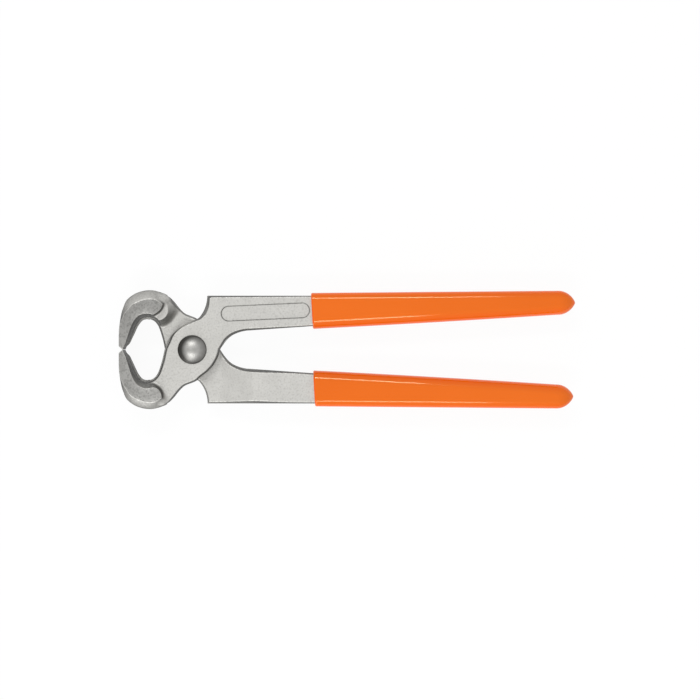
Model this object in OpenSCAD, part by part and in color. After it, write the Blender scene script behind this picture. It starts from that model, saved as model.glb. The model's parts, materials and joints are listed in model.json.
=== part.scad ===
// End cutting nippers: two forged levers lapped on one rivet, with dipped grips.
// X runs from the jaws to the handles, Y across the closed handles, Z along the rivet.
// The origin lies under the middle of the whole tool, level with the jaws' lower side faces.

/* [Head] */
// Distance from the rivet's axis to the cutting edges
edge_reach = 38.3; // [34:0.1:39]
// Distance from the rivet's axis to the front of the jaws
jaw_reach = 40.4; // [39.5:0.1:50]
// Half the height of the closed head
head_half = 33; // [27:0.5:40]
// Width of the jaws, which is the length of the cutting edges
jaw_w = 24; // [17:0.5:32]
// Height of the bevel outside each cutting edge
bevel_h = 1.9; // [1:0.1:3]
// Half the height of the mouth between the closed jaws
mouth_half = 16.9; // [13:0.1:21]
// Distance from the rivet's axis to the back of the mouth
mouth_back = 15.5; // [12.5:0.1:18.5]
// Slope of the jaw's outer band on the lever's outer face
band_outer = 3.8; // [1.5:0.1:4.5]
// Slope of the jaw's outer band on the lever's lapped face
band_lapped = 5; // [2:0.1:6]
// Draft of the mouth wall from the middle of the jaw to its side face
mouth_draft = 3.1; // [1:0.1:4]
// Run of the wall at the back end of a jaw's raised cheek
cheek_draft = 1.5; // [0.5:0.1:2]
// Draft of the plate's, neck's and shank's edges from their middle to their face
plate_draft = 1.4; // [0.5:0.1:2]
// Space left between the closed cutting edges
edge_gap = 0.15; // [0.1:0.01:0.3]

/* [Joint] */
// Thickness of each lever where the two lap
plate_t = 7; // [5:0.1:9]
// Radius of a lever's round free side about the rivet
plate_r = 14.5; // [12:0.1:17]
// Space between the two lapped faces
lap_gap = 0.1; // [0.05:0.01:0.15]
// Diameter of the rivet's shank
rivet_d = 9.6; // [6:0.1:12]
// Diameter of the rivet's heads
rivet_head_d = 16; // [12.5:0.1:19]
// Height of the rivet's heads above the plates
rivet_head_h = 3.8; // [2:0.1:5]
// Height of the steep rim round each rivet head
rivet_rim_h = 1.1; // [0.6:0.1:1.5]
// Radial running clearance of the rivet in the levers
rivet_clear = 0.04; // [0.02:0.01:0.06]
// Space between a rivet head and the plate under it
head_gap = 0.05; // [0.02:0.01:0.1]
// Widest opening of the levers in degrees
open_deg = 30; // [20:1:32]
// Clearance round a lapped plate over its whole swing
swing_clear = 0.5; // [0.3:0.1:1]

/* [Shanks] */
// Distance from the centre line to the outer edge of a shank
shank_out = 30; // [27:0.5:34]
// Distance from the centre line to a shank's inner edge at the fork
fork_half = 10.6; // [8.5:0.1:13]
// Distance from the rivet's axis to the end of the fork's curve
fork_end = 30; // [26:0.5:36]
// Distance from the rivet's axis to the shoulder at the shank's corner
shoulder_x = 8.2; // [6.5:0.1:10]
// Radius of the hollow under the shoulder
shoulder_r = 18.6; // [16:0.1:22]
// Thickness of the shanks where the grips begin
shank_t = 9.6; // [8:0.1:11.5]
// Distance from the rivet's axis to the start of the lapped side's ramp
ramp_start = 15.5; // [13:0.5:18]
// Length of the ramp from the lapped face to the shank's full thickness
ramp_len = 19; // [12:0.5:24]
// Length of the marking panel sunk in each lever's outer face
panel_len = 49; // [35:1:55]
// Width of the marking panel
panel_w = 8.2; // [6:0.1:9]
// Depth of the marking panel
panel_depth = 0.4; // [0.2:0.05:0.6]
// Distance from the rivet's axis to the middle of the marking panel
panel_x = 40.6; // [39:0.2:43]
// Distance from the centre line to the middle of the marking panel
panel_y = 20.9; // [20:0.1:22]
// Tilt of the marking panel in degrees
panel_tilt = 2.6; // [0:0.1:3]

/* [Grips] */
// Distance from the rivet's axis to the grips' far ends
handle_reach = 213; // [190:1:250]
// Distance from the rivet's axis to the front lever's grip
front_grip_start = 66.4; // [66:0.1:80]
// Distance from the rivet's axis to the rear lever's grip
rear_grip_start = 67.6; // [66:0.1:80]
// Thickness of the grips' coat on the handles
coat_t = 1.6; // [1:0.1:2.5]
// Distance from the centre line to a handle's inner edge where the grip begins
tang_in_start = 13.1; // [11:0.1:15]
// Distance from the centre line to a handle's inner edge at its end
tang_in_end = 21; // [18:0.1:23]
// Distance from the centre line to a handle's outer edge at its end
tang_out_end = 31.2; // [29:0.1:36]
// Thickness of the steel handles at their ends
tang_t_end = 8.6; // [7:0.1:11]
// Length of the solid end of a grip past the steel handle
grip_cap = 9.5; // [7:0.1:14]
// Rounding of the grips' long edges
grip_round = 4.6; // [2.5:0.1:5]
// Rounding of the grips' open ends
grip_lip = 0.8; // [0.4:0.1:1.2]
// Sideways bow of the handles' inner edges
handle_bow = 0.25; // [0:0.05:0.6]
// Clearance between a grip and the steel inside it
grip_clear = 0.03; // [0.02:0.01:0.08]

/* [Hidden] */
steel_color = [0.74, 0.73, 0.71];
rivet_color = [0.80, 0.79, 0.77];
grip_color = [1.0, 0.42, 0.10];
round_fn = 96;
curve_steps = 4;
swing_steps = 5;
corner_steps = 6;
shoulder_steps = 7;
shoulder_deg = 42;
tang_steps = 6;
dome_steps = 9;
cut = 1;
plate_bottom = lap_gap / 2;
plate_top = plate_bottom + plate_t;
side_z = jaw_w / 2;
shank_z = shank_t / 2;
tang_z_end = tang_t_end / 2;
grip_round_end = handle_reach - grip_cap;
tang_start = (front_grip_start + rear_grip_start) / 2;

// Points of the jaw's outer outline from its front to the neck, as shares of reach and half height
jaw_outer_shares = [
    [1.000, 0.242], [0.997, 0.409], [0.975, 0.590], [0.948, 0.700], [0.900, 0.830],
    [0.800, 0.930], [0.690, 0.983], [0.577, 1.000], [0.470, 0.982], [0.361, 0.925]
];
// Points of the neck's outer outline from inside the jaw to the plate, as shares of the same
neck_outer_shares = [
    [0.400, 0.935], [0.307, 0.876], [0.250, 0.800], [0.196, 0.715], [0.141, 0.643], [0.087, 0.597]
];
// The plate's free side: angle from +X, and radius as a share of the plate's radius
plate_angle_shares = [
    [-84, 1.215], [-72, 1.080], [-56, 1.020], [-38, 0.995], [-20, 1.005], [-8, 1.030]
];
// Radius at which the fork's curve starts, as a share of the plate's radius
fork_root_share = 1.055;
// Points of the fork's curve, as shares of the way along and up to its end
fork_shares = [
    [0.000, 0.000], [0.095, 0.205], [0.240, 0.475], [0.390, 0.675], [0.540, 0.808], [0.770, 0.930], [1.000, 1.000]
];
// The lever's edge from the shoulder's hollow to the mouth, as shares of the mouth's back and half height
plate_left_shares = [
    [-0.020, 0.950], [0.400, 0.765], [0.740, 0.480], [0.930, 0.160], [1.000, 0.000], [1.090, -0.360]
];
// The mouth's wall beside the neck: share of the way from the mouth's back to the edge, share of half height
neck_mouth_shares = [
    [0.155, 0.745], [0.250, 0.925], [0.330, 0.985]
];
// The neck's end inside the jaw, as shares of reach and half height
neck_end_shares = [
    [0.640, 0.553], [0.605, 0.730], [0.520, 0.900]
];
// The mouth's wall along the jaw to the cutting edge, as shares of the same
mouth_shares = [
    [0.350, 0.998], [0.450, 1.000], [0.550, 0.950], [0.650, 0.780], [0.750, 0.500], [0.850, 0.215]
];
// The end of the jaw's cheek towards the rivet, as shares of the reach and half height
cheek_shares = [
    [0.376, 0.805], [0.380, 0.764], [0.392, 0.712], [0.426, 0.645], [0.475, 0.597], [0.527, 0.567]
];
// Height at which the cheeks start, as a share of the plate's height
cheek_root_share = 0.93;
// Where a cheek's outer band fades in along the outer outline, one share for each outer point
band_fade_share = [0, 0.08, 0.35, 0.62, 0.85, 1, 1, 1, 0.95, 0.6];
// Where the mouth's draft fades in from the cutting edge, one share for each mouth point
draft_fade_share = [1, 1, 1, 0.95, 0.8, 0.55];
// Direction in which the lapped neck's ramp climbs, in degrees, and where it starts and ends
neck_ramp_deg = 210;
neck_ramp_start_share = 1.2;
neck_ramp_run_share = 0.26;
// Shape of the grips' pointed ends: power of the fade and power of its root
tip_power = 2.1;
tip_root = 0.74;
// Where the middle ring of a grip's rounded lip stands, as a share of the rounding
lip_share = 0.3;
// Radius of a rivet head above its rim, as a share of the radius under it
rim_share = 0.93;
// Shares of the grip's end at which its rings stand
tip_ring_shares = [0, 0.12, 0.25, 0.38, 0.51, 0.64, 0.76, 0.86, 0.93, 0.975, 0.995];
// Shares of the grip's length at which its rings stand
grip_ring_shares = [0.12, 0.3, 0.5, 0.7, 0.88];

function lerp(a, b, t) = a + (b - a) * t;

// Point of a smooth curve through the points p, a share t past point i
function catmull(p, i, t) =
    let (
        a = p[max(i - 1, 0)],
        b = p[i],
        c = p[i + 1],
        d = p[min(i + 2, len(p) - 1)]
    )
    0.5 * (2 * b + (c - a) * t + (2 * a - 5 * b + 4 * c - d) * t * t + (3 * b - a - 3 * c + d) * t * t * t);

// Smooth curve through the points p, without its last point
function curve(p) = [for (i = [0:len(p) - 2]) for (k = [0:curve_steps - 1]) catmull(p, i, k / curve_steps)];

// Unit normal at point i of a row of points, to the left of the way it runs
function row_normal(p, i) =
    let (
        d = p[min(i + 1, len(p) - 1)] - p[max(i - 1, 0)]
    )
    [-d[1], d[0]] / norm(d);

// A row of points moved along its normals by a distance times each point's fade
function inset(p, distance, fade) = [for (i = [0:len(p) - 1]) p[i] + row_normal(p, i) * distance * fade[i]];

// Unit normal of the side that runs from a to b, to its left
function side_normal(a, b) = [a[1] - b[1], b[0] - a[0]] / norm(b - a);

// A closed outline drawn in all round by one distance
function drawn_in(p, distance) = [
    for (i = [0:len(p) - 1])
        let (
            before = side_normal(p[(i + len(p) - 1) % len(p)], p[i]),
            after = side_normal(p[i], p[(i + 1) % len(p)])
        )
        p[i] + (before + after) * distance / (1 + before * after)
];

function reach_points(shares) = [for (s = shares) [-s[0] * jaw_reach, -s[1] * head_half]];
function mouth_points(shares) = [
    for (s = shares) [-lerp(mouth_back, edge_reach, s[0]), -s[1] * mouth_half]
];
function plate_points(grow) = [
    for (s = plate_angle_shares) (s[1] * plate_r + grow) * [cos(s[0]), sin(s[0])]
];
function fork_points() = [
    for (s = fork_shares) [lerp(fork_root_share * plate_r, fork_end, s[0]), s[1] * fork_half]
];
function left_points(grow) = [
    for (s = plate_left_shares) [-s[0] * mouth_back - grow, s[1] * mouth_half]
];

// Hollow under the shoulder, from the shank's corner down to the plate
function shoulder_points() = [
    for (k = [0:shoulder_steps])
        let (a = -shoulder_deg * k / shoulder_steps)
        [shoulder_x, shank_out] + shoulder_r * [cos(a) - 1, sin(a)]
];

function shoulder_end() = shoulder_points()[shoulder_steps];

// Edges of a handle at a distance x from the rivet's axis
function along(x) = (x - tang_start) / (grip_round_end - tang_start);
function bow(x) = handle_bow * 4 * along(x) * (1 - along(x));
function edge_in(x) = lerp(tang_in_start, tang_in_end, along(x)) - bow(x);
function edge_out(x) = lerp(shank_out, tang_out_end, along(x));
function half_t(x) = lerp(shank_z, tang_z_end, along(x));
tang_stations = [for (k = [1:tang_steps - 1]) lerp(tang_start, grip_round_end, k / tang_steps)];

// Outline of the space that a lapped plate with its neck takes, grown by a clearance
function joint_outline(grow) = concat(
    curve(concat(reach_points(neck_outer_shares), plate_points(grow), [fork_points()[0] + [grow, 0]])),
    [fork_points()[0] + [grow, 0]],
    [[shoulder_x, shank_out / 2]],
    curve(concat([shoulder_end()], left_points(grow), mouth_points(neck_mouth_shares)))
);

// Outline of the tang inside a grip, grown by a clearance, from x onwards
function tang_outline(start, grow) =
    let (
        stations = concat([start], [for (x = tang_stations) if (x > start) x], [grip_round_end + grow])
    )
    concat(
        [for (x = stations) [x, edge_in(x) - grow]],
        [for (i = [len(stations) - 1:-1:0]) [stations[i], edge_out(stations[i]) + grow]]
    );

// Outline of plate, neck and handle as the closed tool shows it, ending inside the jaw
function lever_outline() = concat(
    curve(concat(reach_points(neck_outer_shares), plate_points(0), fork_points())),
    tang_outline(tang_start, 0),
    shoulder_points(),
    curve(concat(left_points(0), mouth_points(neck_mouth_shares))),
    reach_points(neck_end_shares)
);

// One level of the jaw: outer outline, cheek's end and mouth wall, each drawn in by its own distance
function jaw_level(z, band, draft, wall) =
    let (
        outer = inset(reach_points(jaw_outer_shares), band, band_fade_share),
        cheek = inset(reach_points(cheek_shares), wall, [for (s = cheek_shares) 1]),
        mouth = inset(mouth_points(mouth_shares), draft, draft_fade_share)
    )
    [
        for (p = concat(
            [[-edge_reach, -edge_gap / 2]],
            [[-jaw_reach, -bevel_h]],
            curve(concat(outer, cheek, mouth)),
            [mouth[len(mouth) - 1]]
        )) [p[0], p[1], z]
    ];

// Twice the signed area of the triangle a, b, c, above 0 where it runs anticlockwise
function turn(a, b, c) = (b[0] - a[0]) * (c[1] - a[1]) - (b[1] - a[1]) * (c[0] - a[0]);

// Whether the outline p, cut down to the points numbered in left, has an ear at place i
function is_ear(p, left, i) =
    let (
        n = len(left),
        a = p[left[(i + n - 1) % n]],
        b = p[left[i]],
        c = p[left[(i + 1) % n]]
    )
    turn(a, b, c) > 0 && len([
        for (k = [2:n - 2])
            let (q = p[left[(i + k) % n]])
            if (turn(a, b, q) >= 0 && turn(b, c, q) >= 0 && turn(c, a, q) >= 0) k
    ]) == 0;

function first_ear(p, left, i) = i >= len(left) - 1 || is_ear(p, left, i) ? i : first_ear(p, left, i + 1);

// Triangles that fill an anticlockwise outline p, cut off it ear by ear
function ears(p, left, done) =
    len(left) < 4 ? concat(done, [left]) :
    let (
        n = len(left),
        i = first_ear(p, left, 0),
        ear = [left[(i + n - 1) % n], left[i], left[(i + 1) % n]]
    )
    ears(p, [for (k = [0:n - 1]) if (k != i) left[k]], concat(done, [ear]));

// Solid skinned over rings with the same count of points; low and high list the faces of its ends
module skin(rings, low, high) {
    n = len(rings[0]);
    m = len(rings);
    polyhedron(
        points = [for (r = rings) each r],
        faces = concat(
            low,
            [for (k = [0:m - 2], i = [0:n - 1]) [(k + 1) * n + (i + 1) % n, k * n + (i + 1) % n, k * n + i]],
            [for (k = [0:m - 2], i = [0:n - 1]) [(k + 1) * n + i, (k + 1) * n + (i + 1) % n, k * n + i]],
            [for (face = high) [for (i = [len(face) - 1:-1:0]) (m - 1) * n + face[i]]]
        ),
        convexity = 6
    );
}

// Numbers of a ring's points in their order
function ring_face(ring) = [for (i = [0:len(ring) - 1]) i];

// Solid skinned over the levels of an outline, which may be hollow in places
module skin_levels(levels) {
    low = levels[0];
    high = levels[len(levels) - 1];
    skin(levels, ears(low, ring_face(low), []), ears(high, ring_face(high), []));
}

// Jaw with its two raised cheeks, which start a little under the plate's faces
module jaw() {
    root_z = cheek_root_share * plate_top;
    root_draft = mouth_draft * root_z / side_z;
    skin_levels([
        jaw_level(-side_z, band_lapped, mouth_draft, cheek_draft),
        jaw_level(-root_z, 0, root_draft, 0),
        jaw_level(0, 0, 0, 0),
        jaw_level(root_z, 0, root_draft, 0),
        jaw_level(side_z, band_outer, mouth_draft, cheek_draft)
    ]);
}

// Bar across Y whose section is drawn in X and Z
module across_y(points) {
    rotate([90, 0, 0])
        linear_extrude(height = 4 * head_half, center = true)
            polygon(points);
}

// Slab of an outline, widest in its middle, with drafted edges that run past the lever's faces
module drafted(points) {
    over_z = plate_top + cut;
    edge = drawn_in(points, plate_draft * over_z / plate_top);
    skin_levels([
        [for (p = edge) [p[0], p[1], -over_z]],
        [for (p = points) [p[0], p[1], 0]],
        [for (p = edge) [p[0], p[1], over_z]]
    ]);
}

// Section of a lever's lapped plate, shank and tang, seen along Y
module plate_and_shank_section() {
    across_y([
        [-jaw_reach, plate_bottom],
        [ramp_start, plate_bottom],
        [ramp_start + ramp_len, -shank_z],
        [tang_start, -shank_z],
        [grip_round_end + cut, -half_t(grip_round_end + cut)],
        [grip_round_end + cut, half_t(grip_round_end + cut)],
        [tang_start, shank_z],
        [shoulder_x, plate_top],
        [-jaw_reach, plate_top]
    ]);
}

// Section of the ramp and land that carry the jaw beyond the lapped face
module neck_land_section() {
    start = neck_ramp_start_share * mouth_back;
    run = neck_ramp_run_share * mouth_back;
    rotate([0, 0, neck_ramp_deg])
        across_y([
            [start, plate_bottom + cut],
            [start, plate_bottom],
            [start + run, -plate_top],
            [2 * head_half, -plate_top],
            [2 * head_half, plate_bottom + cut]
        ]);
}

// Marking panel, sunk square to the sloping outer face and left bare
module marking_panel() {
    slope = atan((plate_top - shank_z) / (tang_start - shoulder_x));
    face_z = lerp(plate_top, shank_z, (panel_x - shoulder_x) / (tang_start - shoulder_x));
    translate([panel_x, panel_y, face_z - panel_depth])
        rotate([0, slope, 0])
            rotate([0, 0, panel_tilt])
                union() {
                    for (end = [-1, 1])
                        translate([end * (panel_len - panel_w) / 2, 0, 0])
                            cylinder(h = panel_depth + cut, d = panel_w, $fn = round_fn);
                    translate([-(panel_len - panel_w) / 2, -panel_w / 2, 0])
                        cube([panel_len - panel_w, panel_w, panel_depth + cut]);
                }
}

// One forging, as it lies in front; the rear one is the same forging turned over
module lever() {
    difference() {
        union() {
            intersection() {
                drafted(lever_outline());
                union() {
                    plate_and_shank_section();
                    neck_land_section();
                }
            }
            jaw();
        }
        translate([0, 0, -side_z - cut])
            linear_extrude(height = side_z + cut + plate_bottom)
                for (k = [0:swing_steps])
                    rotate([0, 0, -open_deg * k / swing_steps])
                        mirror([0, 1, 0])
                            polygon(joint_outline(swing_clear));
        translate([0, 0, -side_z])
            cylinder(h = 2 * side_z, r = rivet_d / 2 + rivet_clear, $fn = round_fn);
        marking_panel();
    }
}

// Ring of a grip: a rounded rectangle across the handle at x, grown past the steel by a coat
function grip_ring(x, steel_x, coat, pull, scale) =
    let (
        low = edge_in(steel_x) - coat + pull,
        high = edge_out(steel_x) + coat - pull,
        mid = (low + high) / 2,
        half_y = scale * (high - low) / 2,
        half_z = scale * (half_t(steel_x) + coat - pull),
        r = scale * grip_round
    )
    [
        for (c = [[1, 1, 0], [-1, 1, 90], [-1, -1, 180], [1, -1, 270]], k = [0:corner_steps])
            let (a = c[2] + 90 * k / corner_steps)
            [x, mid + c[0] * (half_y - r) + r * cos(a), c[1] * (half_z - r) + r * sin(a)]
    ];

function tip_scale(t) = pow(1 - pow(t, tip_power), tip_root);

// Outside of a grip, from its rounded open end to its pointed tip
module grip_body(start) {
    rings = concat(
        [
            grip_ring(start, start, coat_t, grip_lip, 1),
            grip_ring(start + lip_share * grip_lip, start, coat_t, lip_share * grip_lip, 1),
            grip_ring(start + grip_lip, start, coat_t, 0, 1)
        ],
        [
            for (s = grip_ring_shares)
                let (x = lerp(start, grip_round_end, s)) grip_ring(x, x, coat_t, 0, 1)
        ],
        [
            for (s = tip_ring_shares)
                grip_ring(lerp(grip_round_end, handle_reach, s), grip_round_end, coat_t, 0, tip_scale(s))
        ]
    );
    ends = [ring_face(rings[0])];
    skin(rings, ends, ends);
}

// Steel of a handle inside its grip, grown by a clearance, from just outside the grip's open end
module grip_cavity(start) {
    open_x = start - cut;
    end_x = grip_round_end + cut;
    intersection() {
        drafted(tang_outline(open_x, grip_clear));
        across_y([
            [open_x - cut, half_t(open_x - cut) + grip_clear],
            [open_x - cut, -half_t(open_x - cut) - grip_clear],
            [end_x, -half_t(end_x) - grip_clear],
            [end_x, half_t(end_x) + grip_clear]
        ]);
    }
}

module grip(start) {
    difference() {
        grip_body(start);
        grip_cavity(start);
    }
}

// Outline of the rivet on one side of its axis: the upper half's points, then the same turned over
module rivet_outline() {
    head_z = plate_top + head_gap;
    head_r = rivet_head_d / 2;
    rim_z = head_z + rivet_rim_h;
    dome_h = rivet_head_h - rivet_rim_h;
    upper = concat(
        [[rivet_d / 2, head_z]],
        [[head_r, head_z]],
        [
            for (k = [0:dome_steps - 1])
                let (a = 90 * k / dome_steps)
                [rim_share * head_r * cos(a), rim_z + dome_h * sin(a)]
        ],
        [[0, rim_z + dome_h]]
    );
    polygon(concat(upper, [for (i = [len(upper) - 1:-1:0]) [upper[i][0], -upper[i][1]]]));
}

// The whole tool stands over the origin, on the jaws' side faces
module placed() {
    translate([-(handle_reach - jaw_reach) / 2, 0, side_z])
        children();
}

module front_lever() {
    color(steel_color)
        placed()
            lever();
}

module rear_lever() {
    color(steel_color)
        placed()
            rotate([180, 0, 0])
                lever();
}

module pivot_rivet() {
    color(rivet_color)
        placed()
            rotate_extrude($fn = round_fn)
                rivet_outline();
}

module front_grip() {
    color(grip_color)
        placed()
            grip(front_grip_start);
}

module rear_grip() {
    color(grip_color)
        placed()
            rotate([180, 0, 0])
                grip(rear_grip_start);
}

front_lever();
rear_lever();
pivot_rivet();
front_grip();
rear_grip();
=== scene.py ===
"""End cutting nippers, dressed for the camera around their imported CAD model.

Lengths are millimetres in the rivet's frame, as in the part's source: X runs to the handles,
Y across the closed tool, Z along the rivet, and both levers are one form, the rear one turned
half round about X. Meshes are put into the row's frame in metres when they are made.
"""

import json
import logging
import math
from collections.abc import Callable
from dataclasses import dataclass, field
from enum import Enum

import bpy
import numpy as np
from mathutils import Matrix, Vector


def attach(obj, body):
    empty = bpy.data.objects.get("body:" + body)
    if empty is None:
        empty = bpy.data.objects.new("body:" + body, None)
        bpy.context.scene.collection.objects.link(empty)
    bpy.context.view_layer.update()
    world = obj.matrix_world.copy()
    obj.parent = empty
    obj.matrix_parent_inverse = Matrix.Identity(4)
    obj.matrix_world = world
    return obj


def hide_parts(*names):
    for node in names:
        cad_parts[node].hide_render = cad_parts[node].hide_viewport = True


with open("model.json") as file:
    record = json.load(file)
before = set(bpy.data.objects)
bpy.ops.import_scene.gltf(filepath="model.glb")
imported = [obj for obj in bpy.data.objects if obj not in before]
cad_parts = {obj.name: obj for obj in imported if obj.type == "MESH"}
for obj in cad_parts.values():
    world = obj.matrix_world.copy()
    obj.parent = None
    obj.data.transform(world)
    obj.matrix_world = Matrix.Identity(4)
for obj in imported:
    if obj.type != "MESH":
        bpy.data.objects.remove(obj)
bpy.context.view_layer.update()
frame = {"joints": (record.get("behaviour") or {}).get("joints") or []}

Array = np.ndarray
Pair = tuple[float, float]
Triple = tuple[float, float, float]
Row = tuple[float, ...]
Shares = tuple[Pair, ...]
Colour = Triple
Noise = tuple[float | Triple, ...]
Material = bpy.types.Material
Socket = bpy.types.NodeSocket
MM = 0.001
LOG = logging.getLogger("nippers")


class Slot(Enum):
    """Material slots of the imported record."""

    LEVER = "lever_steel"
    RIVET = "rivet_steel"
    GRIP = "grip_plastic"


class Body(Enum):
    """Bodies that the rivet's hinge joins."""

    FRONT = "front_half"
    REAR = "rear_half"


def rivet_axis() -> Array:
    """Place of the rivet's axis in the row's frame in metres, at the levers' parting plane."""
    joint = next(j for j in frame["joints"] if j["name"] == "rivet_hinge")
    return np.array(joint["pos_m"], dtype=float)


def between(low: Pair, high: Pair, shares: Shares) -> Array:
    """Points given as shares of the way from one point to another along X and along Y."""
    return np.array(low) + np.subtract(high, low) * np.array(shares)


def inset(points: Array, distance: float, fade: Array) -> Array:
    """Row of points moved to its left by a distance times each point's fade.

    Args:
        points: The row.
        distance: Distance in millimetres.
        fade: Share of the distance for each point.

    Returns:
        The moved row.
    """
    ahead = np.vstack([points[1:], points[-1:]]) - np.vstack([points[:1], points[:-1]])
    left = np.stack([-ahead[:, 1], ahead[:, 0]], 1) / np.linalg.norm(ahead, axis=1)[:, None]
    return points + left * distance * np.asarray(fade, dtype=float)[:, None]


def curve(points: Array, steps: int = 10) -> Array:
    """Smooth row through given points, by cubic pieces whose slope at a point joins its neighbours.

    Args:
        points: The points, one a row.
        steps: Points made for each stretch.

    Returns:
        The finer row, without the last of the given points.
    """
    p = np.asarray(points, dtype=float)
    padded = np.vstack([p[:1], p, p[-1:]])
    a, b, c, d = padded[:-3, None], padded[1:-2, None], padded[2:-1, None], padded[3:, None]
    t = (np.arange(steps) / steps)[None, :, None]
    square, cube = (2 * a - 5 * b + 4 * c - d) * t**2, (3 * b - a - 3 * c + d) * t**3
    return (0.5 * (2 * b + (c - a) * t + square + cube)).reshape(-1, 2)


def outline_distance(outline: Array, x: Array, y: Array, batch: int = 40000) -> Array:
    """Signed distance to a closed outline, below 0 inside.

    Each place takes the nearest of the outline's sides, and counts as inside where a ray along X
    crosses the sides an odd number of times.

    Args:
        outline: The outline's points.
        x: Places along X.
        y: Places along Y, of the same shape.
        batch: Places worked out at a time.

    Returns:
        The distances.
    """
    start = outline.astype(np.float32)
    side = np.roll(start, -1, 0) - start
    size2 = np.maximum((side**2).sum(1), 1e-12)
    out = np.empty(x.size, dtype=np.float32)
    px, py = x.ravel().astype(np.float32), y.ravel().astype(np.float32)
    for first in range(0, px.size, batch):
        part = slice(first, first + batch)
        dx = px[part, None] - start[None, :, 0]
        dy = py[part, None] - start[None, :, 1]
        t = np.clip((dx * side[:, 0] + dy * side[:, 1]) / size2, 0, 1)
        near2 = ((dx - t * side[:, 0]) ** 2 + (dy - t * side[:, 1]) ** 2).min(1)
        above = py[part, None] >= start[None, :, 1]
        crosses = above != np.roll(above, -1, 1)
        right = (dx * side[:, 1] - dy * side[:, 0]) * np.sign(side[:, 1]) < 0
        inside = (crosses & right).sum(1) % 2 == 1
        out[part] = np.sqrt(near2) * np.where(inside, -1, 1)
    return out.reshape(x.shape)


def cubic_weights(t: Array) -> tuple[Array, ...]:
    """Weights of 4 neighbours for a place a share t past the second."""
    return (
        0.5 * (-t + 2 * t**2 - t**3),
        0.5 * (2 - 5 * t**2 + 3 * t**3),
        0.5 * (t + 4 * t**2 - 3 * t**3),
        0.5 * (-(t**2) + t**3),
    )


@dataclass
class Plan:
    """Functions of X and Y kept on a fine square grid, read between its points by cubic pieces."""

    low: Pair
    high: Pair
    step: float
    layers: dict[str, Array] = field(default_factory=dict)

    def axes(self) -> tuple[Array, Array]:
        """Places of the grid's lines along X and along Y."""
        return tuple(np.arange(a, b + self.step, self.step) for a, b in zip(self.low, self.high))

    def add(self, name: str, outline: Array) -> None:
        """Keeps the signed distance to an outline under a name."""
        x, y = np.meshgrid(*self.axes(), indexing="ij")
        self.layers[name] = outline_distance(outline, x, y)

    def read(self, name: str, x: Array, y: Array) -> Array:
        """Value of a layer at any places, from the 4 by 4 grid points round each.

        Args:
            name: The layer's name.
            x: Places along X.
            y: Places along Y.

        Returns:
            The values.
        """
        grid = self.layers[name]
        u = np.clip((x - self.low[0]) / self.step, 1, grid.shape[0] - 3.001)
        v = np.clip((y - self.low[1]) / self.step, 1, grid.shape[1] - 3.001)
        i, j = u.astype(int), v.astype(int)
        total = 0
        for a, wa in enumerate(cubic_weights(u - i)):
            for b, wb in enumerate(cubic_weights(v - j)):
                total = total + wa * wb * grid[i + a - 1, j + b - 1]
        return total


def smooth_max(a: Array, b: Array, r: float) -> Array:
    """Larger of two distances, with the edge between them rounded to about the radius r."""
    h = np.maximum(r - np.abs(a - b), 0) / r
    return np.maximum(a, b) + h * h * r / 4


def smooth_min(a: Array, b: Array, r: float) -> Array:
    """Smaller of two distances, with the corner between them filled to about the radius r."""
    return -smooth_max(-a, -b, r)


def smooth_step(low: float, high: float, x: Array) -> Array:
    """Share from 0 at low to 1 at high, level at both ends."""
    t = np.clip((x - low) / (high - low), 0, 1)
    return t * t * (3 - 2 * t)


def smooth_ramp(t: Array, soft: float = 0.12) -> Array:
    """Straight ramp from 0 to 1 with softened ends.

    Args:
        t: Places, from 0 at its foot to 1 at its top.
        soft: How far the softening reaches to each side of an end.

    Returns:
        The ramp's values.
    """
    up = np.where(t < soft, np.maximum(t + soft, 0) ** 2 / (4 * soft), t)
    down = np.where(t > 1 - soft, 1 - np.maximum(1 + soft - t, 0) ** 2 / (4 * soft), up)
    return np.clip(down, 0, 1)


def field_gradient(form: Callable, p: Array, h: float = 0.08) -> tuple[Array, Array]:
    """Value and slope of a field.

    Args:
        form: The field, which is given X, Y and Z.
        p: The points, one a row.
        h: Step each way for the slope.

    Returns:
        The values and the slopes.
    """
    value = form(p[:, 0], p[:, 1], p[:, 2])
    slope = np.empty_like(p)
    for axis in range(3):
        step = np.zeros(3)
        step[axis] = h
        ahead, behind = p + step, p - step
        slope[:, axis] = (form(*ahead.T) - form(*behind.T)) / (2 * h)
    return value, slope


@dataclass(frozen=True)
class Surface:
    """Points, faces, point normals and named point values of a mesh, in the rivet's frame."""

    points: Array
    faces: Array
    normals: Array | None = None
    values: dict[str, Array] = field(default_factory=dict)

    def turned_over(self) -> "Surface":
        """Turns the surface half round about X.

        Returns:
            The turned surface, with the same faces and values.
        """
        flip = np.array([1.0, -1.0, -1.0])
        normals = None if self.normals is None else self.normals * flip
        return Surface(self.points * flip, self.faces, normals, self.values)

    def make(self, name: str) -> bpy.types.Object:
        """Puts the surface into the scene as a smooth mesh in metres, in the row's frame.

        Args:
            name: The object's name.

        Returns:
            The new object.
        """
        points = self.points * MM + rivet_axis()
        faces = [tuple(dict.fromkeys(f)) for f in self.faces.tolist()]
        mesh = bpy.data.meshes.new(name)
        mesh.from_pydata(points.tolist(), [], faces)
        mesh.polygons.foreach_set("use_smooth", np.ones(len(faces), dtype=bool))
        mesh.update()
        if self.normals is not None:
            mesh.normals_split_custom_set_from_vertices(self.normals.tolist())
        for key, value in self.values.items():
            layer = mesh.attributes.new(key, "FLOAT", "POINT")
            layer.data.foreach_set("value", value.astype(np.float32))
        obj = bpy.data.objects.new(name, mesh)
        bpy.context.scene.collection.objects.link(obj)
        LOG.info("%s: %d points, %d faces", name, len(points), len(faces))
        return obj


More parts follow.
